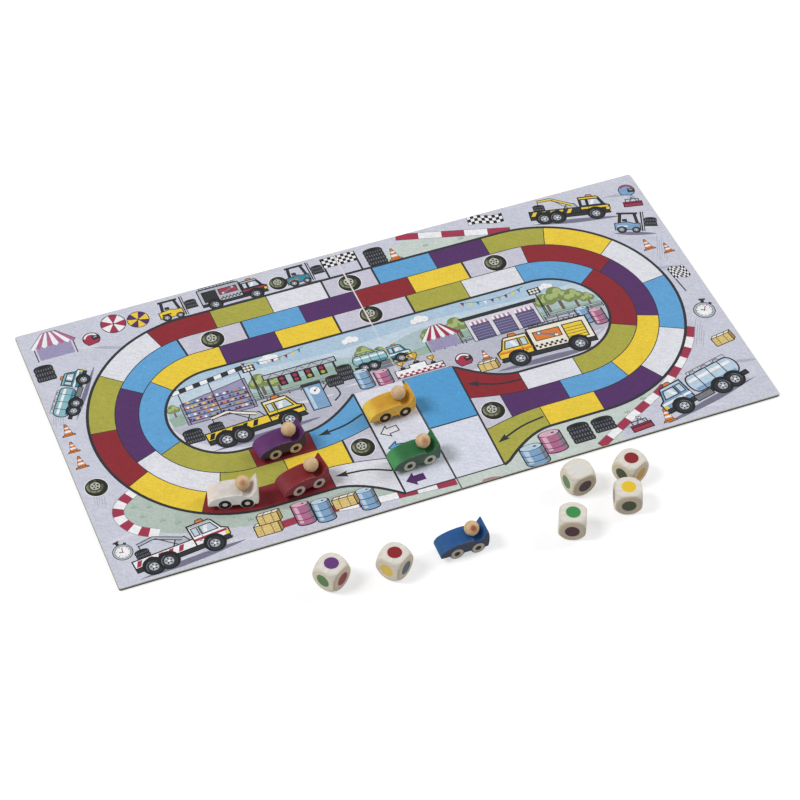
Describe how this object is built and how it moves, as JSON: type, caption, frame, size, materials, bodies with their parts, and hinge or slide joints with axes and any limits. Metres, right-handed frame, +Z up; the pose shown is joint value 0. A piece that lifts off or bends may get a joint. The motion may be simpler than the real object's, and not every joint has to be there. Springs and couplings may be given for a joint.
{
  "type": "racing board game",
  "caption": "Two-part folding game board printed with a three-lane oval race track, laid out with small wooden cars with round-headed drivers and wooden colour dice.",
  "frame": {"origin": "middle of the left half's fold edge on its flat underside, at table level", "axes": "+X along the open board to the right, +Y away from the players, +Z up"},
  "size_m": [0.432, 0.2833, 0.0227],
  "materials": {
    "grey_board": "bare grey board",
    "printed_paper": "printed, linen embossed",
    "lining_paper": "matt",
    "bare_wood": "turned, unpainted",
    "die_wood": "lacquered, with painted spots",
    "yellow_paint": "yellow satin paint",
    "green_paint": "green satin paint",
    "white_paint": "white satin paint",
    "red_paint": "red satin paint",
    "purple_paint": "purple satin paint",
    "blue_paint": "blue satin paint"
  },
  "bodies": {
    "left_half": {"left_board_core": "grey_board", "left_print_sheet": "printed_paper", "left_back_lining": "lining_paper", "fold_crease": "printed_paper"},
    "right_half": {"right_board_core": "grey_board", "right_print_sheet": "printed_paper", "right_back_lining": "lining_paper"},
    "yellow_car": {"yellow_car_body": "yellow_paint", "yellow_car_driver": "bare_wood"},
    "green_car": {"green_car_body": "green_paint", "green_car_driver": "bare_wood"},
    "white_car": {"white_car_body": "white_paint", "white_car_driver": "bare_wood"},
    "red_car": {"red_car_body": "red_paint", "red_car_driver": "bare_wood"},
    "purple_car": {"purple_car_body": "purple_paint", "purple_car_driver": "bare_wood"},
    "blue_car": {"blue_car_body": "blue_paint", "blue_car_driver": "bare_wood"},
    "die_1": {"die_1": "die_wood"},
    "die_2": {"die_2": "die_wood"},
    "die_3": {"die_3": "die_wood"},
    "die_4": {"die_4": "die_wood"},
    "die_5": {"die_5": "die_wood"},
    "die_6": {"die_6": "die_wood"}
  },
  "joints": [
    {"name": "board_fold", "type": "hinge", "parent": "left_half", "child": "right_half", "pos_m": [0.0002, 0, 0.002], "axis": [0, -1, 0], "range_deg": [0, 90], "deforming": ["fold_crease"]},
    {"name": "yellow_car_lift", "type": "slide", "parent": "left_half", "child": "yellow_car", "axis": [0, 0, 1], "range_m": [0, 0.05]},
    {"name": "green_car_lift", "type": "slide", "parent": "left_half", "child": "green_car", "axis": [0, 0, 1], "range_m": [0, 0.05]},
    {"name": "white_car_lift", "type": "slide", "parent": "left_half", "child": "white_car", "axis": [0, 0, 1], "range_m": [0, 0.05]},
    {"name": "red_car_lift", "type": "slide", "parent": "left_half", "child": "red_car", "axis": [0, 0, 1], "range_m": [0, 0.05]},
    {"name": "purple_car_lift", "type": "slide", "parent": "left_half", "child": "purple_car", "axis": [0, 0, 1], "range_m": [0, 0.05]},
    {"name": "blue_car_lift", "type": "slide", "parent": "left_half", "child": "blue_car", "axis": [0, 0, 1], "range_m": [0, 0.05]},
    {"name": "die_1_lift", "type": "slide", "parent": "left_half", "child": "die_1", "axis": [0, 0, 1], "range_m": [0, 0.05]},
    {"name": "die_2_lift", "type": "slide", "parent": "left_half", "child": "die_2", "axis": [0, 0, 1], "range_m": [0, 0.05]},
    {"name": "die_3_lift", "type": "slide", "parent": "left_half", "child": "die_3", "axis": [0, 0, 1], "range_m": [0, 0.05]},
    {"name": "die_4_lift", "type": "slide", "parent": "left_half", "child": "die_4", "axis": [0, 0, 1], "range_m": [0, 0.05]},
    {"name": "die_5_lift", "type": "slide", "parent": "left_half", "child": "die_5", "axis": [0, 0, 1], "range_m": [0, 0.05]},
    {"name": "die_6_lift", "type": "slide", "parent": "left_half", "child": "die_6", "axis": [0, 0, 1], "range_m": [0, 0.05]}
  ]
}
